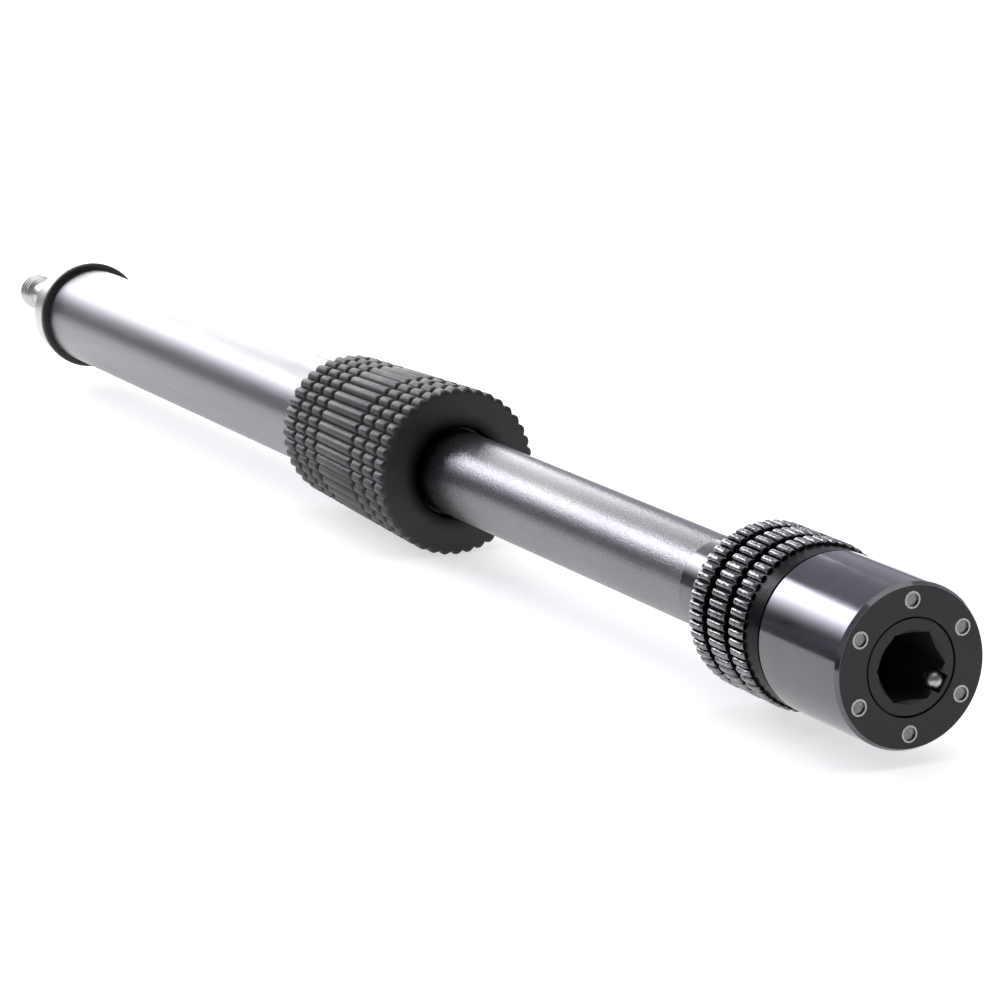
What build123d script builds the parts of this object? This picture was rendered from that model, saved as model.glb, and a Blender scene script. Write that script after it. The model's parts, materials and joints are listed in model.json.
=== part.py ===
from build123d import *
from math import atan, cos, degrees, radians, sin
import os

# A two-section boom pole. The thin section slides in the thick one and is held by a
# twist lock under the rubber grip. The thin section ends in a quick-release coupler
# with a hex socket, and the thick one ends in a threaded stud.
#
# Millimetres. +X runs along the pole towards the coupler and +Z is up. The grip rests
# on z = 0. A depth is a distance back along the pole from the coupler's shoulder, and
# the coupler's flat face stands in front of that, at a depth of -face_lead.

inch = 25.4

# The pole as a whole
overall_length = 464.8
face_lead = 1.2
face_x = overall_length / 2 - face_lead
axis_height = 0.75 * inch
running_gap = 0.05
free_gap = 0.3

# Coupler, at the front end
coupler_radius = 0.625 * inch
sleeve_end = 26.8
sleeve_bore = 14.2
plate_front = -face_lead
plate_back = -0.2
plate_radius = 15.3
plate_bore = 9.5
plate_relief_start = -0.75
plate_relief_radius = 10.15
edge_bevel = 0.4
rim_bevel_length = 0.9
rim_bevel_depth = 0.5
barrel_bore = 11.0
barrel_end = 50.0
web_start = 44.0
post_radius = 9.3
neck_end = 85.0

# Hex socket, across flats half an inch
socket_radius = 9.35
socket_front_radius = 9.1
socket_flats = 0.5 * inch
socket_depth = 16.5
socket_length = 20.0
lead_in_radius = 7.1
lead_in_depth = 0.8
screw_head_radius = 3.6
screw_head_top = 16.9
screw_head_bottom = 19.0
screw_radius = 2.0
screw_end = 34.0

# Six pins around the socket
pin_count = 6
pin_circle = 12.6
pin_head_radius = 1.65
pin_shank_radius = 1.35
pin_end = 14.0
pin_top = plate_front + 0.05
pin_dish_radius = 1.3
pin_dish_depth = 0.45

# Detent ball in the wall of the socket
ball_radius = 2.0
ball_depth = 1.1
ball_centre_radius = 7.2
ball_angle = -30
ball_hole_radius = 2.1
ball_window_width = 3.7
ball_window_end = 0.25
ball_window_top = 8.2

# Release ring and the sleeve it pulls
ring_start = 27.1
ring_end = 52.0
ring_bevel_end = 31.75
ring_radius = 16.85
ring_bore = sleeve_bore + free_gap
ring_grooves = [(36.8, 38.9), (44.9, 47.1)]
ring_groove_depth = 1.5
ring_tooth_count = 52
ring_tooth_cut = 0.55
actuator_bore = socket_radius + running_gap
actuator_radius = barrel_bore - free_gap
actuator_start = 0.0
actuator_taper_end = 1.0
actuator_taper_radius = 9.9
actuator_end = 34.0
drive_pin_depth = 32.5
drive_pin_radius = 1.0
drive_pin_inner = 9.8
drive_pin_outer = 15.6
release_travel = 4.5

# Spring that pushes the release ring forward again
spring_wire = 0.4
spring_radius = 10.15
spring_start = 34.1
spring_stop = 43.9
spring_coils = 6

# Thin inner section
inner_tube_radius = 0.375 * inch
inner_tube_bore = 8.4
inner_tube_end = 271.0
ferrule_radius = 9.75
ferrule_end = 68.2
bush_start = 258.0
end_plug_start = 259.0
end_plug_end = 272.0

# Thick outer section
outer_tube_radius = 0.5 * inch
outer_tube_bore = 11.2
outer_tube_start = 215.0
outer_tube_end = 417.5

# Butt end
bumper_end = 419.4
bumper_radius = 14.3
flange_radius = 13.3
flange_end = 427.8
plug_start = 402.0
stud_start = 408.0
stud_end = overall_length - face_lead
stud_neck_radius = 3.9
stud_tip_start = 455.6
stud_tip_radius = 0.1875 * inch
stud_tip_bevel = 0.8

# Twist lock
clutch_radius = 14.22
clutch_start = 203.0
clutch_seat_end = 208.0
clutch_throat = 11.3
clutch_end = 236.0
collet_bore = inner_tube_radius + running_gap
collet_start = 195.8
collet_end = 214.5
collet_slot_end = 211.0
grub_count = 3
grub_depth = 230.0
grub_radius = 1.5
washer_start = 194.0
washer_end = 195.5
washer_radius = 13.9
washer_bore = 9.95

# Nut under the rubber grip
nut_start = 189.8
nut_end = 246.2
nut_radius = 15.3
nut_bore = 14.3
nut_flange = (192.0, 194.0)
nut_flange_bore = 10.2
wiper_radius = 12.5
wiper_bore = 9.6
guide_start = 240.5
guide_end = 245.0

# Rubber grip
grip_start = 187.3
grip_end = 246.9
grip_front_radius = axis_height
grip_back_radius = 17.0
grip_lip_bore = 10.1
grip_lip_bevel = 0.4
grip_grooves = [192.6, 199.1, 205.7, 227.0, 233.4, 239.8]
grip_groove_half_top = 0.95
grip_groove_half_floor = 0.45
grip_groove_depth = 1.1
grip_flute_count = 40
grip_flute_radius = 1.0
grip_flute_lift = 0.15


def turned(outline):
    """Turn a closed outline of (depth, radius) points about the pole's axis."""
    points = [(face_x - depth, radius) for depth, radius in outline]
    profile = make_face(Polyline(*points, close=True))
    return Pos(0, 0, axis_height) * revolve(profile, Axis.X, 360)


def ring(start, end, inner, outer):
    """A plain ring between two depths."""
    return turned([(start, inner), (end, inner), (end, outer), (start, outer)])


def rod(start, end, radius):
    """A solid rod on the pole's axis."""
    return turned([(start, 0), (end, 0), (end, radius), (start, radius)])


def axial_rod(start, end, offset, angle, radius):
    """A rod parallel to the pole, off its axis. The angle runs from +Y towards +Z."""
    bar = Rot(0, 90, 0) * Cylinder(radius, end - start)
    y = offset * cos(radians(angle))
    z = offset * sin(radians(angle))
    return Pos(face_x - (start + end) / 2, y, axis_height + z) * bar


def radial_rod(depth, angle, inner, outer, radius):
    """A rod that points straight out from the pole's axis."""
    bar = Pos(0, 0, (inner + outer) / 2) * Cylinder(radius, outer - inner)
    return Pos(face_x - depth, 0, axis_height) * Rot(angle - 90, 0, 0) * bar


def hexagon(start, end, flats):
    """A hexagonal prism on the pole's axis, with two of its flats facing up and down."""
    outline = RegularPolygon(radius=flats / 2, side_count=6, major_radius=False, rotation=30)
    prism = extrude(outline, end - start)
    upright = Rot(0, -90, 0) * prism
    return Pos(face_x - start, 0, axis_height) * upright


def grip_radius_at(depth):
    """The grip's outer radius, which falls evenly from front to back."""
    share = (depth - grip_start) / (grip_end - grip_start)
    return grip_front_radius + (grip_back_radius - grip_front_radius) * share


def thick_section():
    """The thick tube with its butt end and the fixed half of the twist lock."""
    tube = ring(outer_tube_start, outer_tube_end, outer_tube_bore, outer_tube_radius)

    bumper = turned([
        (outer_tube_end, outer_tube_bore), (bumper_end, outer_tube_bore),
        (bumper_end, bumper_radius - 0.4), (bumper_end - 0.4, bumper_radius),
        (outer_tube_end + 0.4, bumper_radius), (outer_tube_end, bumper_radius - 0.4)])

    plug = turned([
        (plug_start, 0), (flange_end, 0),
        (flange_end, flange_radius - 0.8), (flange_end - 0.8, flange_radius),
        (bumper_end + 0.3, flange_radius), (bumper_end, flange_radius - 0.3),
        (bumper_end, outer_tube_bore), (plug_start + 1, outer_tube_bore),
        (plug_start, outer_tube_bore - 1)])
    plug -= rod(stud_start, flange_end + 1, stud_neck_radius)

    stud = turned([
        (stud_start, 0), (stud_end, 0),
        (stud_end, stud_tip_radius - stud_tip_bevel),
        (stud_end - stud_tip_bevel, stud_tip_radius),
        (stud_tip_start + 0.4, stud_tip_radius),
        (stud_tip_start, stud_tip_radius - 0.4),
        (stud_tip_start, stud_neck_radius), (stud_start, stud_neck_radius)])

    body = turned([
        (clutch_start, 13.0), (clutch_seat_end, clutch_throat),
        (outer_tube_start, clutch_throat), (outer_tube_start, outer_tube_radius),
        (clutch_end, outer_tube_radius), (clutch_end, clutch_radius - 0.5),
        (clutch_end - 0.5, clutch_radius), (clutch_start + 0.5, clutch_radius),
        (clutch_start, clutch_radius - 0.5)])

    screw_list = []
    for number in range(grub_count):
        angle = 90 + number * 360 / grub_count
        body -= radial_rod(grub_depth, angle, outer_tube_radius, 15.0, grub_radius)
        screw = radial_rod(grub_depth, angle, outer_tube_radius, 13.9, grub_radius)
        screw_list.append(screw)
    screws = Compound(children=screw_list)

    collet = turned([
        (collet_start, collet_bore), (collet_end, collet_bore),
        (collet_end, clutch_throat - 0.1), (clutch_seat_end, clutch_throat - 0.1),
        (clutch_start, 12.9), (199.0, 12.9), (collet_start, 11.4)])
    slot_length = collet_slot_end - collet_start + 2
    slot_x = face_x - (collet_start - 2 + slot_length / 2)
    for angle in (45, 135):
        slot = Rot(angle, 0, 0) * Box(slot_length, 40, 1.0)
        collet -= Pos(slot_x, 0, axis_height) * slot

    return {
        "outer_tube": tube, "bumper_ring": bumper, "butt_plug": plug, "butt_stud": stud,
        "clutch_body": body, "clutch_grub_screws": screws, "clutch_collet": collet}


def twist_grip():
    """The turning half of the twist lock: nut, rubber grip and seals."""
    washer = ring(washer_start, washer_end, washer_bore, washer_radius)

    nut = turned([
        (nut_start, wiper_radius), (nut_flange[0], wiper_radius),
        (nut_flange[0], nut_flange_bore), (nut_flange[1], nut_flange_bore),
        (nut_flange[1], nut_bore), (nut_end, nut_bore),
        (nut_end, nut_radius), (nut_start, nut_radius)])

    wiper = ring(nut_start, nut_flange[0], wiper_bore, wiper_radius)
    guide = ring(guide_start, guide_end, outer_tube_radius + running_gap, nut_bore)

    outline = [(grip_start, grip_lip_bore + grip_lip_bevel)]
    outline += [(grip_start + grip_lip_bevel, grip_lip_bore), (nut_start, grip_lip_bore)]
    outline += [(nut_start, nut_radius), (grip_end, nut_radius)]
    outline += [(grip_end, grip_back_radius - 0.9), (grip_end - 0.9, grip_radius_at(grip_end))]
    for centre in reversed(grip_grooves):
        top = grip_radius_at(centre)
        floor = top - grip_groove_depth
        outline.append((centre + grip_groove_half_top, top))
        outline.append((centre + grip_groove_half_floor, floor))
        outline.append((centre - grip_groove_half_floor, floor))
        outline.append((centre - grip_groove_half_top, top))
    outline += [(grip_start + 1.1, grip_front_radius), (grip_start + 0.4, grip_front_radius - 0.4)]
    outline += [(grip_start, grip_front_radius - 1.1)]
    grip = turned(outline)

    length = grip_end - grip_start
    lean = degrees(atan((grip_front_radius - grip_back_radius) / length))
    middle_radius = (grip_front_radius + grip_back_radius) / 2 + grip_flute_lift
    cutter = Pos(0, 0, middle_radius) * Rot(0, 90 - lean, 0) * Cylinder(grip_flute_radius, length + 6)
    middle = Pos(face_x - (grip_start + grip_end) / 2, 0, axis_height)
    # The flutes stand half a step off the vertical, so the grip's lowest line is a rib.
    cutters = []
    for number in range(grip_flute_count):
        angle = (number + 0.5) * 360 / grip_flute_count
        cutters.append(middle * Rot(angle, 0, 0) * cutter)
    grip -= cutters

    return {
        "thrust_washer": washer, "clutch_nut": nut, "front_wiper": wiper,
        "rear_guide_ring": guide, "clutch_grip": grip}


def thin_section():
    """The thin tube with its glide bush and end plug."""
    tube = ring(ferrule_end, inner_tube_end, inner_tube_bore, inner_tube_radius)
    bush = turned([
        (bush_start, inner_tube_radius), (inner_tube_end, inner_tube_radius),
        (inner_tube_end, outer_tube_bore - running_gap),
        (bush_start + 1, outer_tube_bore - running_gap), (bush_start, 10.4)])
    plug = turned([
        (end_plug_start, 6.0), (end_plug_end, 6.0), (end_plug_end, 10.5),
        (inner_tube_end, 10.5), (inner_tube_end, inner_tube_bore),
        (end_plug_start, inner_tube_bore)])
    ferrule = turned([
        (barrel_end, inner_tube_bore), (ferrule_end, inner_tube_bore),
        (ferrule_end, ferrule_radius - 0.15), (ferrule_end - 0.3, ferrule_radius),
        (barrel_end, ferrule_radius)])
    return {
        "inner_tube": tube, "glide_bush": bush, "inner_end_plug": plug,
        "neck_ferrule": ferrule}


def coupler():
    """The quick-release coupler's fixed pieces."""
    body = turned([
        (plate_back, barrel_bore), (web_start, barrel_bore), (web_start, post_radius),
        (socket_length, post_radius), (socket_length, 0), (46.0, 0), (46.0, 6.0),
        (neck_end, 6.0), (neck_end, inner_tube_bore - 0.5),
        (neck_end - 0.5, inner_tube_bore), (barrel_end, inner_tube_bore),
        (barrel_end, sleeve_bore - 1), (barrel_end - 1, sleeve_bore),
        (plate_back, sleeve_bore)])
    body -= rod(socket_length - 1, screw_end, screw_radius)

    slot_front = drive_pin_depth - drive_pin_radius - free_gap
    slot_back = drive_pin_depth + release_travel + drive_pin_radius + free_gap
    slot_x = face_x - (slot_front + slot_back) / 2
    slot_width = 2 * (drive_pin_radius + free_gap)
    for angle in (90, -90):
        slot = Pos(0, 0, (barrel_bore + sleeve_bore) / 2) * Box(slot_back - slot_front, slot_width, 5)
        body -= Pos(slot_x, 0, axis_height) * Rot(angle - 90, 0, 0) * slot

    sleeve = turned([
        (plate_front, plate_radius), (plate_back, plate_radius), (plate_back, sleeve_bore),
        (sleeve_end, sleeve_bore), (sleeve_end, coupler_radius - edge_bevel),
        (sleeve_end - edge_bevel, coupler_radius), (plate_front + rim_bevel_length, coupler_radius),
        (plate_front, coupler_radius - rim_bevel_depth)])

    # The plate's bore opens out at the back, to clear the ball as it moves out.
    plate = turned([
        (plate_front, plate_bore), (plate_relief_start, plate_bore),
        (plate_back, plate_relief_radius), (plate_back, plate_radius),
        (plate_front, plate_radius)])
    pins = []
    for number in range(pin_count):
        angle = 90 + number * 360 / pin_count
        plate -= axial_rod(plate_front - 1, plate_back + 1, pin_circle, angle, pin_head_radius + 0.05)
        body -= axial_rod(plate_back - 1, pin_end, pin_circle, angle, pin_shank_radius)
        pin = axial_rod(pin_top, plate_back, pin_circle, angle, pin_head_radius)
        pin += axial_rod(plate_back, pin_end, pin_circle, angle, pin_shank_radius)
        pin -= axial_rod(plate_front - 1, pin_top + pin_dish_depth, pin_circle, angle, pin_dish_radius)
        pins.append(pin)
    face_pins = Compound(children=pins)

    socket = rod(plate_front + 0.1, plate_back, socket_front_radius)
    socket += rod(plate_back, socket_length, socket_radius)
    socket -= hexagon(plate_front - 1, socket_depth, socket_flats)
    lead_in = turned([
        (plate_front, 0), (plate_front, lead_in_radius),
        (plate_front + lead_in_depth, socket_flats / 2), (plate_front + lead_in_depth, 0)])
    socket -= lead_in
    socket -= rod(socket_depth - 1, screw_head_bottom, screw_head_radius + 0.1)
    socket -= rod(socket_depth, socket_length + 1, screw_radius + 0.1)
    socket -= radial_rod(ball_depth, ball_angle, 4.0, 12.0, ball_hole_radius)
    # A window in the front shows the ball. It is narrower than the ball, so it holds it in.
    window_length = ball_window_end - plate_front + 1
    window = Pos(0, 0, ball_window_top / 2) * Box(window_length, ball_window_width, ball_window_top)
    window_x = face_x - plate_front + 1 - window_length / 2
    socket -= Pos(window_x, 0, axis_height) * Rot(ball_angle - 90, 0, 0) * window

    screw = rod(screw_head_top, screw_head_bottom, screw_head_radius)
    screw += rod(screw_head_bottom, screw_end, screw_radius)
    screw -= hexagon(screw_head_top - 1, screw_head_top + 1.3, 3.0)

    return {
        "coupler_body": body, "coupler_sleeve": sleeve, "face_plate": plate,
        "face_pins": face_pins, "hex_socket": socket, "socket_screw": screw}


def release():
    """The ring that is pulled back, the sleeve it moves, its spring and the ball."""
    outline = [(ring_start, ring_bore), (ring_end, ring_bore)]
    outline += [(ring_end, ring_radius - 0.5), (ring_end - 0.5, ring_radius)]
    for front, back in reversed(ring_grooves):
        floor = ring_radius - ring_groove_depth
        outline += [(back, ring_radius), (back, floor), (front, floor), (front, ring_radius)]
    outline += [(ring_bevel_end, ring_radius), (ring_start, coupler_radius)]
    knurled = turned(outline)
    cutters = []
    for number in range(ring_tooth_count):
        angle = number * 360 / ring_tooth_count
        cutters.append(axial_rod(ring_bevel_end, ring_end + 1, ring_radius, angle, ring_tooth_cut))
    knurled -= cutters

    actuator = turned([
        (actuator_start, actuator_taper_radius), (actuator_taper_end, actuator_bore),
        (actuator_end, actuator_bore), (actuator_end, actuator_radius),
        (actuator_start, actuator_radius)])

    pins = []
    for angle in (90, -90):
        pin = radial_rod(drive_pin_depth, angle, drive_pin_inner, drive_pin_outer, drive_pin_radius)
        actuator -= pin
        knurled -= pin
        pins.append(pin)
    drive_pins = Compound(children=pins)

    height = spring_stop - spring_start - 2 * spring_wire
    coil = Helix(height / spring_coils, height, spring_radius)
    section = Plane(origin=coil @ 0, z_dir=coil % 0) * Circle(spring_wire)
    wire = sweep(section, path=coil)
    spring = Pos(face_x - spring_stop + spring_wire, 0, axis_height) * Rot(0, 90, 0) * wire

    y = ball_centre_radius * cos(radians(ball_angle))
    z = ball_centre_radius * sin(radians(ball_angle))
    ball = Pos(face_x - ball_depth, y, axis_height + z) * Sphere(ball_radius)

    return {
        "release_ring": knurled, "actuator_sleeve": actuator, "ring_drive_pins": drive_pins,
        "release_spring": spring, "detent_ball": ball}


nodes = {}
for group in (thick_section(), twist_grip(), thin_section(), coupler(), release()):
    nodes.update(group)

os.makedirs("parts", exist_ok=True)
for name, shape in nodes.items():
    export_step(shape, "parts/" + name + ".step")
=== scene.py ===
import json
import math

import bpy
import numpy as np
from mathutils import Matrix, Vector


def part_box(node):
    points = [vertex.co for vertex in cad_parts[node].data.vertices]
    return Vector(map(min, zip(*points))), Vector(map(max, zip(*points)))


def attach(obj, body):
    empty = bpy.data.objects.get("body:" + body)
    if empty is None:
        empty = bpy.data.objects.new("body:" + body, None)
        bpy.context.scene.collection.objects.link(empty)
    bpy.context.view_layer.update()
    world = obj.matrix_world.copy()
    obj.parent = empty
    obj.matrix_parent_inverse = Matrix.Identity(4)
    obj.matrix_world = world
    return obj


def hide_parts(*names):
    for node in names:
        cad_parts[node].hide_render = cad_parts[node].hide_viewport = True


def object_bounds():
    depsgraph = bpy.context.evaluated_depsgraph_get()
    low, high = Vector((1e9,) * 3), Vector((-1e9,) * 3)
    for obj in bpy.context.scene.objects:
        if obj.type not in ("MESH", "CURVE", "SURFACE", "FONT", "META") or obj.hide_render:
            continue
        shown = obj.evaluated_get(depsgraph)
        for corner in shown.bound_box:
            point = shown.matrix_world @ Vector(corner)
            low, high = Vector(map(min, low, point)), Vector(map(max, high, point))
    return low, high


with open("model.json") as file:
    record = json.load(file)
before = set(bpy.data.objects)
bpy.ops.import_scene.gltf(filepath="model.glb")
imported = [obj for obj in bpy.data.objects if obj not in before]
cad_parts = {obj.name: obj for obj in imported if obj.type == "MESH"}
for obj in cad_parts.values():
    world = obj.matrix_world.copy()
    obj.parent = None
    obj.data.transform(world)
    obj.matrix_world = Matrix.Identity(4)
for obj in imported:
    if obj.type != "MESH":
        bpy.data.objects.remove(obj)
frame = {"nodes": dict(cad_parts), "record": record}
cad_low, cad_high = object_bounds()

# The pole lies along +X with its coupler's flat face at the high end. Metres, as in the frame.
MM = 0.001
FACE_LEAD = 1.2 * MM
FACE_X = cad_high.x
SHOULDER_X = FACE_X - FACE_LEAD
AXIS_Z = (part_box("outer_tube")[0].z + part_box("outer_tube")[1].z) / 2
TURN = 2 * math.pi


def node_radius(node):
    """Outer radius of a round node."""
    low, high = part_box(node)
    return (high.z - low.z) / 2


# ---------------------------------------------------------------- meshes


def lathe(name, stations, columns, sharp_angle, closed=True, caps=False):
    """A mesh of rings round the pole's axis.

    A station is (x, radius), and the radius is one number or one per column. A closed mesh
    joins its last ring to its first. Edges sharper than sharp_angle, in degrees, stay sharp.
    """
    angles = np.arange(columns) * TURN / columns
    points = []
    for x, radius in stations:
        radii = np.broadcast_to(np.asarray(radius, float), (columns,))
        along = np.full(columns, float(x))
        ring = np.stack([along, radii * np.cos(angles), AXIS_Z + radii * np.sin(angles)], axis=1)
        points.append(ring)
    vertices = np.concatenate(points)
    count = len(stations)
    faces = []
    for station in range(count if closed else count - 1):
        here = station * columns
        there = (station + 1) % count * columns
        for column in range(columns):
            beside = (column + 1) % columns
            faces.append((here + column, there + column, there + beside, here + beside))
    if caps:
        faces.append(tuple(range(columns)))
        faces.append(tuple(reversed(range((count - 1) * columns, count * columns))))
    mesh = bpy.data.meshes.new(name)
    mesh.from_pydata(vertices.tolist(), [], faces)
    mesh.validate()
    mesh.update()
    mesh.polygons.foreach_set("use_smooth", [True] * len(mesh.polygons))
    mesh.set_sharp_from_angle(angle=math.radians(sharp_angle))
    piece = bpy.data.objects.new(name, mesh)
    bpy.context.scene.collection.objects.link(piece)
    return piece


def arc(centre_x, centre_r, size, start, end, steps):
    """Points (x, radius) round an arc in the plane of the profile, in degrees from +X."""
    points = []
    for angle in np.linspace(math.radians(start), math.radians(end), steps):
        points.append((centre_x + size * math.cos(angle), centre_r + size * math.sin(angle)))
    return points


def depth(x_mm):
    """The x of a depth, in millimetres back from the coupler's shoulder."""
    return SHOULDER_X - x_mm * MM


# ---------------------------------------------------------------- materials


class Paint:
    """Short ways to build a node material."""

    def __init__(self, name):
        self.material = bpy.data.materials.new(name)
        self.material.use_nodes = True
        self.nodes = self.material.node_tree.nodes
        self.links = self.material.node_tree.links
        self.shader = self.nodes["Principled BSDF"]
        self.place = self.nodes.new("ShaderNodeTexCoord").outputs["Object"]

    def set(self, **values):
        """Constants on the shader's sockets, with _ for a space in a name."""
        for key, value in values.items():
            self.shader.inputs[key.replace("_", " ")].default_value = value

    def stretched(self, along, across):
        """Object coordinates scaled along the pole and across it."""
        mapping = self.nodes.new("ShaderNodeMapping")
        mapping.inputs["Scale"].default_value = (along, across, across)
        self.links.new(self.place, mapping.inputs["Vector"])
        return mapping.outputs["Vector"]

    def noise(self, size, detail=3, rough=0.6, along=1, across=1):
        """Noise with grains of about this size, in metres."""
        node = self.nodes.new("ShaderNodeTexNoise")
        node.inputs["Scale"].default_value = 1 / size
        node.inputs["Detail"].default_value = detail
        node.inputs["Roughness"].default_value = rough
        self.links.new(self.stretched(along, across), node.inputs["Vector"])
        return node.outputs["Fac"]

    def ramp(self, source, low, high, start=0.3, end=0.7):
        """Maps a texture to a range of numbers or colours."""
        node = self.nodes.new("ShaderNodeMapRange")
        node.inputs["From Min"].default_value = start
        node.inputs["From Max"].default_value = end
        node.inputs["To Min"].default_value = low
        node.inputs["To Max"].default_value = high
        self.links.new(source, node.inputs["Value"])
        return node.outputs["Result"]

    def tones(self, source, dark, light, start=0.3, end=0.7):
        """A colour that varies between two tones."""
        node = self.nodes.new("ShaderNodeValToRGB")
        node.color_ramp.elements[0].position = start
        node.color_ramp.elements[1].position = end
        node.color_ramp.elements[0].color = (*dark, 1)
        node.color_ramp.elements[1].color = (*light, 1)
        self.links.new(source, node.inputs["Fac"])
        return node.outputs["Color"]

    def calculate(self, kind, first, second=0.0):
        """Arithmetic on one or two values, each a number or a socket."""
        node = self.nodes.new("ShaderNodeMath")
        node.operation = kind
        for socket, value in zip(node.inputs, (first, second)):
            if isinstance(value, (int, float)):
                socket.default_value = value
            else:
                self.links.new(value, socket)
        return node.outputs["Value"]

    def coordinate(self, axis):
        """One object coordinate, in metres."""
        split = self.nodes.new("ShaderNodeSeparateXYZ")
        self.links.new(self.place, split.inputs["Vector"])
        return split.outputs[axis]

    def axis_distance(self):
        """Distance from the pole's axis, in metres."""
        across = self.coordinate("Y")
        height = self.calculate("SUBTRACT", self.coordinate("Z"), AXIS_Z)
        across_squared = self.calculate("MULTIPLY", across, across)
        height_squared = self.calculate("MULTIPLY", height, height)
        return self.calculate("SQRT", self.calculate("ADD", across_squared, height_squared))

    def openness(self, reach):
        """1 in the open and less in a recess, judged over this reach in metres."""
        node = self.nodes.new("ShaderNodeAmbientOcclusion")
        node.samples = 8
        node.inputs["Distance"].default_value = reach
        return node.outputs["AO"]

    def scaled(self, colour, amount):
        """A colour times a number that a texture gives."""
        node = self.nodes.new("ShaderNodeVectorMath")
        node.operation = "SCALE"
        self.links.new(colour, node.inputs["Vector"])
        self.links.new(amount, node.inputs["Scale"])
        return node.outputs["Vector"]

    def colour(self, source):
        """Drives the base colour."""
        self.links.new(source, self.shader.inputs["Base Color"])

    def roughness(self, source):
        """Drives the roughness."""
        self.links.new(source, self.shader.inputs["Roughness"])

    def specular(self, source):
        """Drives the strength of the reflection on a material that isn't metal."""
        self.links.new(source, self.shader.inputs["Specular IOR Level"])

    def bump(self, *layers):
        """Layers of (height, distance in metres, strength), one on top of the other."""
        below = None
        for height, distance, strength in layers:
            node = self.nodes.new("ShaderNodeBump")
            node.inputs["Strength"].default_value = strength
            node.inputs["Distance"].default_value = distance
            self.links.new(height, node.inputs["Height"])
            if below is not None:
                self.links.new(below, node.inputs["Normal"])
            below = node.outputs["Normal"]
        self.links.new(below, self.shader.inputs["Normal"])


def bead_blasted():
    """Grey anodised tube with a fine blasted grain that sparkles in the light."""
    p = Paint("bead_blasted_grey")
    p.set(Metallic=1.0)
    grain = p.noise(0.48 * MM, detail=2, rough=0.6)
    patches = p.noise(9 * MM, detail=3, along=0.35)
    metal = p.tones(patches, (0.175, 0.174, 0.182), (0.205, 0.203, 0.212))
    # Painted shade: ambient occlusion darkens the tube's colour where it goes into the grip.
    shade = p.ramp(p.openness(8 * MM), 0.10, 1.0, 0.60, 0.86)
    p.colour(p.scaled(metal, shade))
    p.roughness(p.ramp(grain, 0.25, 0.34))
    p.bump((grain, 0.10 * MM, 0.6))
    return p.material


def smooth_anodised():
    """The thick tube: smoother, with faint drawing lines along it."""
    p = Paint("smooth_anodised_grey")
    p.set(Metallic=1.0)
    drawn = p.noise(0.6 * MM, detail=2, along=0.03)
    grain = p.noise(0.4 * MM, detail=2)
    patches = p.noise(14 * MM, detail=3, along=0.3)
    p.colour(p.tones(patches, (0.205, 0.203, 0.216), (0.225, 0.223, 0.236)))
    p.roughness(p.ramp(drawn, 0.30, 0.36))
    p.bump((drawn, 0.0004 * MM, 0.12), (grain, 0.012 * MM, 0.25))
    return p.material


def smooth_neck():
    """The turned ferrule behind the ring: the tube's metal, but smooth and shiny."""
    p = Paint("turned_neck")
    p.set(Metallic=1.0)
    turned = p.noise(0.3 * MM, detail=2, across=0.03)
    patches = p.noise(5 * MM, detail=3)
    p.colour(p.tones(patches, (0.13, 0.13, 0.136), (0.165, 0.165, 0.172)))
    p.roughness(p.ramp(patches, 0.14, 0.22))
    p.bump((turned, 0.004 * MM, 0.2))
    return p.material


def dark_gloss():
    """The coupler's polished dark sleeve, with faint turning marks and hairlines."""
    p = Paint("polished_dark_anodised")
    p.set(Metallic=1.0)
    turned = p.noise(0.25 * MM, detail=2, across=0.02)
    hairs = p.noise(1.2 * MM, detail=4, along=0.6, across=0.08)
    smears = p.noise(7 * MM, detail=4)
    p.colour(p.tones(smears, (0.118, 0.119, 0.128), (0.132, 0.133, 0.142)))
    p.roughness(p.ramp(smears, 0.085, 0.15))
    p.bump((turned, 0.004 * MM, 0.12), (hairs, 0.006 * MM, 0.10))
    return p.material


def bright_black():
    """The ring's teeth: black metal that is dark in shade, with glittering cut faces."""
    p = Paint("bright_black_anodised")
    p.set(Metallic=1.0)
    cut = p.noise(0.30 * MM, detail=3, along=0.3)
    chips = p.noise(0.9 * MM, detail=2)
    patches = p.noise(1.6 * MM, detail=2)
    p.colour(p.tones(patches, (0.085, 0.086, 0.089), (0.26, 0.26, 0.263)))
    p.roughness(p.ramp(chips, 0.13, 0.28))
    p.bump((chips, 0.20 * MM, 0.5), (cut, 0.06 * MM, 0.45))
    return p.material


def plain_black():
    """Black turned metal for the ring's bevel and the coupler's body, and painted shade in the
    ring's grooves and tooth gaps.
    """
    p = Paint("turned_black_anodised")
    p.set(Metallic=0.0, Specular_IOR_Level=0.08)
    turned = p.noise(0.2 * MM, detail=2, across=0.03)
    smears = p.noise(3 * MM, detail=3)
    p.colour(p.tones(smears, (0.002, 0.002, 0.0022), (0.006, 0.006, 0.0065)))
    p.roughness(p.ramp(smears, 0.20, 0.34))
    p.bump((turned, 0.006 * MM, 0.2))
    return p.material


def matte_plate():
    """The coupler's face: matte black with a fine etched grain."""
    p = Paint("matte_black_plate")
    p.set(Metallic=0.0, Specular_IOR_Level=0.4)
    grain = p.noise(0.18 * MM, detail=3)
    patches = p.noise(3 * MM, detail=3)
    p.colour(p.tones(patches, (0.0115, 0.0118, 0.0118), (0.0150, 0.0153, 0.0153)))
    p.roughness(p.ramp(patches, 0.42, 0.55))
    p.bump((grain, 0.015 * MM, 0.35))
    return p.material


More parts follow.
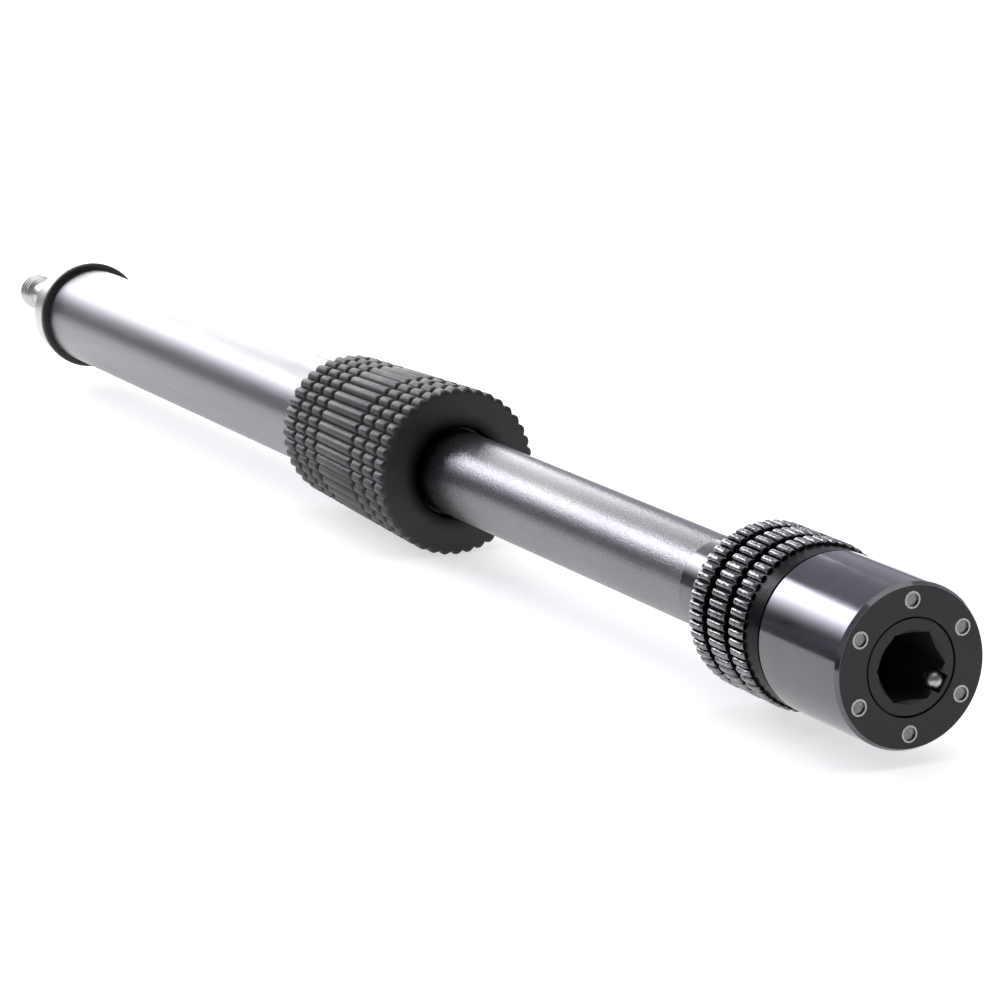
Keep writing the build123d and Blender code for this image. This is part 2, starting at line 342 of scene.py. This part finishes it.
def bare_metal():
    """Bare turned aluminium."""
    p = Paint("turned_bright_metal")
    p.set(Metallic=1.0)
    turned = p.noise(0.16 * MM, detail=3, across=0.02)
    patches = p.noise(4 * MM, detail=3)
    p.colour(p.tones(patches, (0.47, 0.465, 0.45), (0.56, 0.555, 0.54)))
    p.roughness(p.ramp(turned, 0.24, 0.38))
    p.bump((turned, 0.008 * MM, 0.3))
    return p.material


def ground_steel():
    """Steel of the ball, spring, washer, screws and drive pins."""
    p = Paint("ground_steel")
    p.set(Metallic=1.0)
    grain = p.noise(0.25 * MM, detail=3)
    patches = p.noise(1.5 * MM, detail=3)
    p.colour(p.tones(patches, (0.24, 0.24, 0.23), (0.46, 0.455, 0.44)))
    p.roughness(p.ramp(grain, 0.26, 0.46))
    p.bump((grain, 0.02 * MM, 0.4))
    return p.material


def pin_steel():
    """The pins of the coupler's face: painted shade in the dish and a painted highlight on the rim
    round it.
    """
    p = Paint("pin_steel")
    p.set(Metallic=1.0)
    grain = p.noise(0.35 * MM, detail=3)
    steel = p.tones(grain, (0.13, 0.13, 0.125), (0.30, 0.295, 0.28))
    # Painted shade and highlight: the colour darkens in the dish, which lies behind the rim, and
    # brightens towards the face.
    rim_highlight_dish_shade = p.ramp(p.coordinate("X"), 0.9, 1.7, FACE_X - 0.40 * MM, FACE_X - 0.10 * MM)
    p.colour(p.scaled(steel, rim_highlight_dish_shade))
    p.roughness(p.ramp(grain, 0.24, 0.42))
    p.bump((grain, 0.05 * MM, 0.5))
    return p.material


def moulded_rubber():
    """The grip: dark rubber with a dry, faintly mottled skin, and painted shade that turns it black
    near its bore.
    """
    p = Paint("moulded_rubber")
    p.set(Metallic=0.0)
    skin = p.noise(0.3 * MM, detail=3)
    dust = p.noise(6 * MM, detail=5, rough=0.7)
    skin_tone = p.tones(dust, (0.012, 0.0125, 0.013), (0.020, 0.0205, 0.022))
    # Painted shade: the colour and the reflection fade to near black towards the bore.
    from_axis = p.axis_distance()
    p.colour(p.scaled(skin_tone, p.ramp(from_axis, 0.10, 1.0, 10.6 * MM, 14.0 * MM)))
    p.specular(p.ramp(from_axis, 0.02, 0.45, 10.4 * MM, 13.2 * MM))
    p.roughness(p.ramp(dust, 0.40, 0.54))
    p.bump((skin, 0.02 * MM, 0.5))
    return p.material


def seal_rubber():
    """The bumper and the wiper: smoother black rubber."""
    p = Paint("seal_rubber")
    p.set(Metallic=0.0, Specular_IOR_Level=0.5)
    skin = p.noise(0.4 * MM, detail=3)
    patches = p.noise(3 * MM, detail=3)
    p.colour(p.tones(patches, (0.014, 0.014, 0.013), (0.024, 0.024, 0.022)))
    p.roughness(p.ramp(skin, 0.36, 0.5))
    p.bump((skin, 0.01 * MM, 0.4))
    return p.material


def slide_plastic():
    """Natural bearing plastic of the collet, bushes and guide ring."""
    p = Paint("bearing_plastic")
    p.set(Metallic=0.0, Specular_IOR_Level=0.4)
    patches = p.noise(2 * MM, detail=3)
    p.colour(p.tones(patches, (0.60, 0.59, 0.55), (0.68, 0.67, 0.63)))
    p.roughness(p.ramp(patches, 0.38, 0.5))
    p.bump((patches, 0.01 * MM, 0.3))
    return p.material


MATERIALS = {
    "satin_tube": bead_blasted(),
    "thick_tube": smooth_anodised(),
    "dark_sleeve": dark_gloss(),
    "black_metal": plain_black(),
    "knurl": bright_black(),
    "neck": smooth_neck(),
    "pins": pin_steel(),
    "black_plate": matte_plate(),
    "bare_metal": bare_metal(),
    "steel": ground_steel(),
    "grip_rubber": moulded_rubber(),
    "seal_rubber": seal_rubber(),
    "slide_plastic": slide_plastic(),
}

# Nodes that look different from the rest of their slot.
LOOKS = {"neck_ferrule": "neck", "face_pins": "pins"}

for part in frame["record"]["subparts"]:
    look = LOOKS.get(part["node"], part["material_slot"])
    node = frame["nodes"][part["node"]]
    node.data.materials.clear()
    node.data.materials.append(MATERIALS[look])


def finish_piece(piece, body, slot, *materials):
    """Gives a new piece its body and its materials, which are the slot's own material when none are
    given.
    """
    for name in materials or (slot,):
        piece.data.materials.append(MATERIALS[name])
    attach(piece, body)
    return piece


# ---------------------------------------------------------------- rubber grip

# Millimetres, and depths back from the coupler's shoulder.
GRIP_RIBS = 40
GRIP_COLUMNS_PER_RIB = 16
GRIP_START, GRIP_END = 187.3, 246.9
GRIP_FRONT_RADIUS, GRIP_BACK_RADIUS = 19.05, 17.0
GRIP_GROOVES = (192.6, 199.1, 205.7, 227.0, 233.4, 239.8)
GRIP_BORE = 10.1
GRIP_LIP_ROUND = 0.4
GRIP_LIP_STEPS = 10
GRIP_FACE_MARGIN = 0.5
GRIP_BACK_MARGIN = 0.3
GRIP_SHARP_ANGLE = 60
NUT_START = 189.8
NUT_SEAT_RADIUS = 15.32
GROOVE_HALF = 0.30
RIB_DEPTH = 0.95
RIB_FULLNESS = 0.75
GROOVE_DEPTH = 1.25
ROW_ROUND = 1.0
ROW_STEPS = (0.02, 0.08, 0.18, 0.32, 0.5, 0.75, 1.0)


def grip_radii(x_mm, angles):
    """The grip's outer radius round one ring: ribs that round off into each groove."""
    share = (x_mm - GRIP_START) / (GRIP_END - GRIP_START)
    tip = GRIP_FRONT_RADIUS + (GRIP_BACK_RADIUS - GRIP_FRONT_RADIUS) * share
    ends = [x_mm - GRIP_START, GRIP_END - x_mm]
    ends += [abs(x_mm - groove) - GROOVE_HALF for groove in GRIP_GROOVES]
    clear = min(max(min(ends), 0) / ROW_ROUND, 1)
    rise = math.sqrt(1 - (1 - clear) ** 2)
    rib = np.abs(np.cos(GRIP_RIBS * angles / 2)) ** RIB_FULLNESS
    return tip - GROOVE_DEPTH + rise * (GROOVE_DEPTH - RIB_DEPTH * (1 - rib))


def grip_depths():
    """The depths of the grip's rings, close together where a row of ribs rounds off."""
    rows = {GRIP_START, GRIP_END}
    for step in ROW_STEPS:
        rows.add(GRIP_START + step * ROW_ROUND)
        rows.add(GRIP_END - step * ROW_ROUND)
    for groove in GRIP_GROOVES:
        for step in (0, *ROW_STEPS):
            rows.add(groove - GROOVE_HALF - step * ROW_ROUND)
            rows.add(groove + GROOVE_HALF + step * ROW_ROUND)
    return sorted(rows)


def rubber_grip():
    """The grip, with its nut's seat inside and a lip round the thin tube."""
    columns = GRIP_RIBS * GRIP_COLUMNS_PER_RIB
    angles = np.arange(columns) * TURN / columns
    lip = GRIP_BORE * MM
    lip_round = GRIP_LIP_ROUND * MM
    seat = NUT_SEAT_RADIUS * MM
    face = GRIP_FRONT_RADIUS - GROOVE_DEPTH - GRIP_FACE_MARGIN
    back = GRIP_BACK_RADIUS - GROOVE_DEPTH - GRIP_BACK_MARGIN
    lip_x = depth(GRIP_START) - lip_round
    stations = arc(lip_x, lip + lip_round, lip_round, -90, 0, GRIP_LIP_STEPS)
    stations.append((depth(GRIP_START), face * MM))
    for x_mm in grip_depths():
        stations.append((depth(x_mm), grip_radii(x_mm, angles) * MM))
    stations.append((depth(GRIP_END), back * MM))
    stations += [(depth(GRIP_END), seat), (depth(NUT_START), seat), (depth(NUT_START), lip)]
    grip = lathe("rubber_grip", stations, columns, GRIP_SHARP_ANGLE)
    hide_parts("clutch_grip")
    return finish_piece(grip, "clutch_knob", "grip_rubber")


rubber_grip()

# ---------------------------------------------------------------- knurled ring

RING_TEETH = 52
RING_COLUMNS_PER_TOOTH = 16
RING_START, RING_BEVEL_END, RING_END = 27.1, 31.75, 52.0
RING_RADIUS = 16.85
RING_BORE = 14.5
RING_SHARP_ANGLE = 40
RING_GROOVES = ((36.75, 38.95), (44.85, 47.15))
TOOTH_DEPTH = 0.95
RING_GROOVE_DEPTH = 1.85
TOOTH_SHARE = 0.86
TOOTH_FLATNESS = 3.0
TOOTH_STEEPNESS = 0.6
TOOTH_ROUND = 1.1
TOOTH_END_DROP = 0.5
TOOTH_STEPS = (0.0, 0.06, 0.16, 0.32, 0.55, 0.8, 1.0)
RING_FRONT_BEVEL = 0.15
BEVEL_STEP_DOWN = 0.1
BEVEL_STEPS = 7
KNURL_ABOVE_GAP = 0.12


def tooth_heights(columns):
    """Pillow-shaped teeth: 1 on top of a tooth and 0 at the bottom of the narrow gap beside it."""
    phase = (np.arange(columns) * RING_TEETH / columns) % 1
    from_middle = np.minimum((1 - np.abs(phase - 0.5) * 2) / TOOTH_SHARE, 1)
    return (1 - from_middle ** TOOTH_FLATNESS) ** TOOTH_STEEPNESS


def tooth_row(front, back, gap, height):
    """One row of teeth, rounded off at both ends. The gap is the radius between the teeth."""
    ends = []
    for share in TOOTH_STEPS:
        crown = RING_RADIUS - TOOTH_END_DROP * (1 - math.sqrt(1 - (1 - share) ** 2))
        ends.append((share * TOOTH_ROUND, (crown - (crown - gap) * (1 - height)) * MM))
    stations = [(depth(front + inset), radius) for inset, radius in ends]
    stations.append((depth((front + back) / 2), ends[-1][1]))
    stations += [(depth(back - inset), radius) for inset, radius in reversed(ends)]
    return stations


def knurled_ring():
    """The release ring: a plain bevel, then three rows of pillow-shaped teeth."""
    columns = RING_TEETH * RING_COLUMNS_PER_TOOTH
    height = tooth_heights(columns)
    floor = (RING_RADIUS - RING_GROOVE_DEPTH) * MM
    gap = RING_RADIUS - TOOTH_DEPTH
    bore = RING_BORE * MM
    bevel_radius = node_radius("coupler_sleeve") - BEVEL_STEP_DOWN * MM
    bevel_start = RING_START + RING_FRONT_BEVEL

    stations = [(depth(RING_START), bore)]
    stations.append((depth(RING_START), bevel_radius - RING_FRONT_BEVEL * MM))
    for share in np.linspace(0, 1, BEVEL_STEPS):
        x_mm = bevel_start + (RING_BEVEL_END - bevel_start) * share
        stations.append((depth(x_mm), bevel_radius + (gap * MM - bevel_radius) * share))
    first_tooth = len(stations) - 1

    edges = [RING_BEVEL_END, *np.ravel(RING_GROOVES), RING_END]
    for front, back in zip(edges[0::2], edges[1::2]):
        if front != RING_BEVEL_END:
            stations.append((depth(front), floor))
        stations += tooth_row(front, back, gap, height)
        stations.append((depth(back), floor))
    stations.append((depth(RING_END), bore))

    ring = lathe("knurled_ring", stations, columns, RING_SHARP_ANGLE)
    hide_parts("release_ring")
    finish_piece(ring, "release", "black_metal", "black_metal", "knurl")
    last_tooth = len(stations) - 3
    # Painted shade: the faces low in the tooth gaps and the groove floors keep the near-black
    # material.
    paint_shade_in_tooth_gaps(ring, columns, first_tooth, last_tooth, (gap + KNURL_ABOVE_GAP) * MM)


def paint_shade_in_tooth_gaps(ring, columns, first, last, lowest_radius):
    """Gives the second material to the toothed faces above this radius; the lower faces keep the
    near-black first, as painted shade in the gaps and grooves.
    """
    points = np.array([vertex.co for vertex in ring.data.vertices])
    radii = np.hypot(points[:, 1], points[:, 2] - AXIS_Z)
    material = []
    for index, polygon in enumerate(ring.data.polygons):
        toothed = first <= index // columns <= last
        lowest = min(radii[vertex] for vertex in polygon.vertices)
        material.append(int(toothed and lowest > lowest_radius))
    ring.data.polygons.foreach_set("material_index", material)


knurled_ring()

# ---------------------------------------------------------------- threaded stud

INCH = 25.4
STUD_RADIUS = 3 / 16 * INCH
STUD_COLUMNS = 96
STUD_SHARP_ANGLE = 50
THREAD_PITCH = INCH / 16
THREAD_DEPTH = 0.92
THREAD_ROW = 0.08
THREAD_CREST = 1.25
THREAD_FLANK = 2.5
STUD_START = 408.0
STUD_TIP_START, STUD_END = 455.6, 463.6
STUD_NECK = 3.9
STUD_END_RADIUS = 2.2
TIP_BEVEL = 1.0
TIP_BEVEL_SLOPE = 1.1
ROOT_BEVEL_SLOPE = 1.2


def thread_radii(x_mm, angles):
    """The radius round one ring of the threaded tip, bevelled at both of its ends."""
    phase = (x_mm / THREAD_PITCH + angles / TURN) % 1
    crest = np.clip(THREAD_CREST - THREAD_FLANK * np.abs(phase - 0.5), 0, 1)
    thread = STUD_RADIUS - THREAD_DEPTH * (1 - crest)
    tip_bevel = STUD_RADIUS - TIP_BEVEL + (STUD_END - x_mm) * TIP_BEVEL_SLOPE
    root_bevel = STUD_NECK + (x_mm - STUD_TIP_START) * ROOT_BEVEL_SLOPE
    return np.minimum(np.minimum(thread, tip_bevel), np.maximum(root_bevel, STUD_NECK))


def threaded_stud():
    """The stud with a real helical thread on its tip."""
    angles = np.arange(STUD_COLUMNS) * TURN / STUD_COLUMNS
    stations = [(depth(STUD_END), STUD_END_RADIUS * MM)]
    for x_mm in np.arange(STUD_TIP_START, STUD_END + 0.001, THREAD_ROW)[::-1]:
        stations.append((depth(x_mm), thread_radii(x_mm, angles) * MM))
    neck = STUD_NECK * MM
    stations += [(depth(STUD_TIP_START), neck), (depth(STUD_START), neck)]
    stud = lathe("threaded_stud", stations, STUD_COLUMNS, STUD_SHARP_ANGLE, closed=False, caps=True)
    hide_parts("butt_stud")
    return finish_piece(stud, "outer_pole", "bare_metal")


threaded_stud()

# ---------------------------------------------------------------- studio


def flat(name, centre, along, up, width, height):
    """A flat rectangle with its own left-right and bottom-top directions."""
    along, up = Vector(along).normalized(), Vector(up).normalized()
    corners = []
    unit_square = ((0, 0), (1, 0), (1, 1), (0, 1))
    for u, v in unit_square:
        corners.append(Vector(centre) + along * ((u - 0.5) * width) + up * ((v - 0.5) * height))
    mesh = bpy.data.meshes.new(name)
    mesh.from_pydata([tuple(corner) for corner in corners], [], [(0, 1, 2, 3)])
    layer = mesh.uv_layers.new(name="UVMap")
    for loop, uv in zip(layer.data, unit_square):
        loop.uv = uv
    piece = bpy.data.objects.new(name, mesh)
    bpy.context.scene.collection.objects.link(piece)
    return piece


FADE_POWER = 3.0


def softbox(name, azimuth, elevation, distance, size, power, fade=0.0, tint=(1, 1, 1)):
    """A glowing panel seen from the coupler in this direction (degrees from +X towards +Y).

    Its size is (width, height). fade is the share of its height, from the bottom, over which
    it grows to full brightness.
    """
    azimuth, elevation = math.radians(azimuth), math.radians(elevation)
    level = math.cos(elevation)
    towards = Vector((math.cos(azimuth) * level, math.sin(azimuth) * level, math.sin(elevation)))
    along = Vector((-math.sin(azimuth), math.cos(azimuth), 0))
    up = towards.cross(along)
    if up.z < 0:
        up = -up
    middle = Vector((FACE_X, 0, AXIS_Z)) + towards * distance
    panel = flat(name, middle, along, up, *size)
    panel.data.materials.append(glowing(name, power, fade, tint))
    panel.visible_camera = False


def glowing(name, power, fade, tint):
    """The softbox's material, which grows from dark at the bottom edge when it fades."""
    material = bpy.data.materials.new(name)
    material.use_nodes = True
    nodes, links = material.node_tree.nodes, material.node_tree.links
    nodes.clear()
    glow = nodes.new("ShaderNodeEmission")
    glow.inputs["Strength"].default_value = power
    glow.inputs["Color"].default_value = (*tint, 1)
    output = nodes.new("ShaderNodeOutputMaterial")
    links.new(glow.outputs["Emission"], output.inputs["Surface"])
    if fade > 0:
        place = nodes.new("ShaderNodeTexCoord")
        split = nodes.new("ShaderNodeSeparateXYZ")
        ramp = nodes.new("ShaderNodeMapRange")
        ramp.inputs["From Max"].default_value = fade
        curve = nodes.new("ShaderNodeMath")
        curve.operation = "POWER"
        curve.inputs[1].default_value = FADE_POWER
        scale = nodes.new("ShaderNodeMath")
        scale.operation = "MULTIPLY"
        scale.inputs[1].default_value = power
        links.new(place.outputs["UV"], split.inputs["Vector"])
        links.new(split.outputs["Y"], ramp.inputs["Value"])
        links.new(ramp.outputs["Result"], curve.inputs[0])
        links.new(curve.outputs["Value"], scale.inputs[0])
        links.new(scale.outputs["Value"], glow.inputs["Strength"])
    return material


FLOOR_CENTRE = (0.1, 1.84, 0)
FLOOR_SIZE = (6.0, 4.0)


def white_floor():
    """A pale floor that glows a little, so that its shadows stay light."""
    floor = flat("floor", FLOOR_CENTRE, (1, 0, 0), (0, 1, 0), *FLOOR_SIZE)
    material = bpy.data.materials.new("white_floor")
    material.use_nodes = True
    shader = material.node_tree.nodes["Principled BSDF"]
    shader.inputs["Base Color"].default_value = (0.80, 0.80, 0.80, 1)
    shader.inputs["Roughness"].default_value = 0.7
    shader.inputs["Specular IOR Level"].default_value = 0.2
    shader.inputs["Emission Color"].default_value = (1, 1, 1, 1)
    shader.inputs["Emission Strength"].default_value = 0.6
    floor.data.materials.append(material)


# The room seen in reflections: (height, brightness), with height 0 straight down and 1 up.
ROOM_BELOW = (0.9, 0.9, 0.9)
ROOM_ABOVE = (0.6, 0.6, 0.62)
ROOM_BANDS = ((0.46, 0.26), (0.52, 0.28), (0.565, 0.62), (0.62, 0.72), (0.75, 0.66))
ROOM_TINT = (0.95, 0.96, 1.12)
ROOM_BEHIND, ROOM_IN_FRONT = 0.95, 0.3
BACKDROP = 1.1


def room():
    """A grey room for the reflections, dimmer in front of the coupler, and a white backdrop."""
    world = bpy.data.worlds.new("studio")
    bpy.context.scene.world = world
    world.use_nodes = True
    nodes, links = world.node_tree.nodes, world.node_tree.links
    nodes.clear()
    place = nodes.new("ShaderNodeTexCoord")
    split = nodes.new("ShaderNodeSeparateXYZ")
    band = nodes.new("ShaderNodeValToRGB")
    marks = band.color_ramp.elements
    marks[0].position, marks[0].color = 0.0, (*ROOM_BELOW, 1)
    marks[1].position, marks[1].color = 1.0, (*ROOM_ABOVE, 1)
    for position, tone in ROOM_BANDS:
        mark = marks.new(position)
        mark.color = (*(tone * share for share in ROOM_TINT), 1)
    shift = nodes.new("ShaderNodeMapRange")
    shift.inputs["From Min"].default_value = -1
    shift.inputs["From Max"].default_value = 1
    dim = nodes.new("ShaderNodeBackground")
    front = nodes.new("ShaderNodeMapRange")
    front.inputs["From Min"].default_value = -0.3
    front.inputs["From Max"].default_value = 0.6
    front.inputs["To Min"].default_value = ROOM_BEHIND
    front.inputs["To Max"].default_value = ROOM_IN_FRONT
    links.new(split.outputs["X"], front.inputs["Value"])
    links.new(front.outputs["Result"], dim.inputs["Strength"])
    white = nodes.new("ShaderNodeBackground")
    white.inputs["Color"].default_value = (1, 1, 1, 1)
    white.inputs["Strength"].default_value = BACKDROP
    eye = nodes.new("ShaderNodeLightPath")
    mix = nodes.new("ShaderNodeMixShader")
    output = nodes.new("ShaderNodeOutputWorld")
    links.new(place.outputs["Generated"], split.inputs["Vector"])
    links.new(split.outputs["Z"], shift.inputs["Value"])
    links.new(shift.outputs["Result"], band.inputs["Fac"])
    links.new(band.outputs["Color"], dim.inputs["Color"])
    links.new(eye.outputs["Is Camera Ray"], mix.inputs["Fac"])
    links.new(dim.outputs["Background"], mix.inputs[1])
    links.new(white.outputs["Background"], mix.inputs[2])
    links.new(mix.outputs["Shader"], output.inputs["Surface"])


white_floor()
softbox("key_panel", -158.0, 17.75, 3.0, (1.22, 1.47), 9.5, fade=0.76, tint=(0.965, 0.955, 1.03))
softbox("back_panel", 173.0, 12.5, 1.5, (0.86, 0.67), 4.2)
softbox("top_panel", 90.0, 84.0, 2.2, (2.6, 2.2), 1.5)
room()

# ---------------------------------------------------------------- camera

CAMERA_AZIMUTH = 63.5
CAMERA_ELEVATION = 12.52
CAMERA_LENS = 140.6
CAMERA_SENSOR = 36
CAMERA_FROM_SHOULDER = Vector((581.2, -372.6, 183.3)) * MM


def camera():
    """The camera, which looks along its own azimuth and elevation."""
    azimuth, elevation = math.radians(CAMERA_AZIMUTH), math.radians(CAMERA_ELEVATION)
    level = math.cos(elevation)
    back = Vector((math.sin(azimuth) * level, -math.cos(azimuth) * level, math.sin(elevation)))
    data = bpy.data.cameras.new("camera")
    data.lens = CAMERA_LENS
    data.sensor_width = CAMERA_SENSOR
    data.clip_start, data.clip_end = 0.01, 50
    eye = bpy.data.objects.new("camera", data)
    bpy.context.scene.collection.objects.link(eye)
    eye.location = Vector((SHOULDER_X, 0, AXIS_Z)) + CAMERA_FROM_SHOULDER
    eye.rotation_euler = (-back).to_track_quat("-Z", "Y").to_euler()
    bpy.context.scene.camera = eye


camera()
bpy.context.scene.view_settings.view_transform = "Standard"
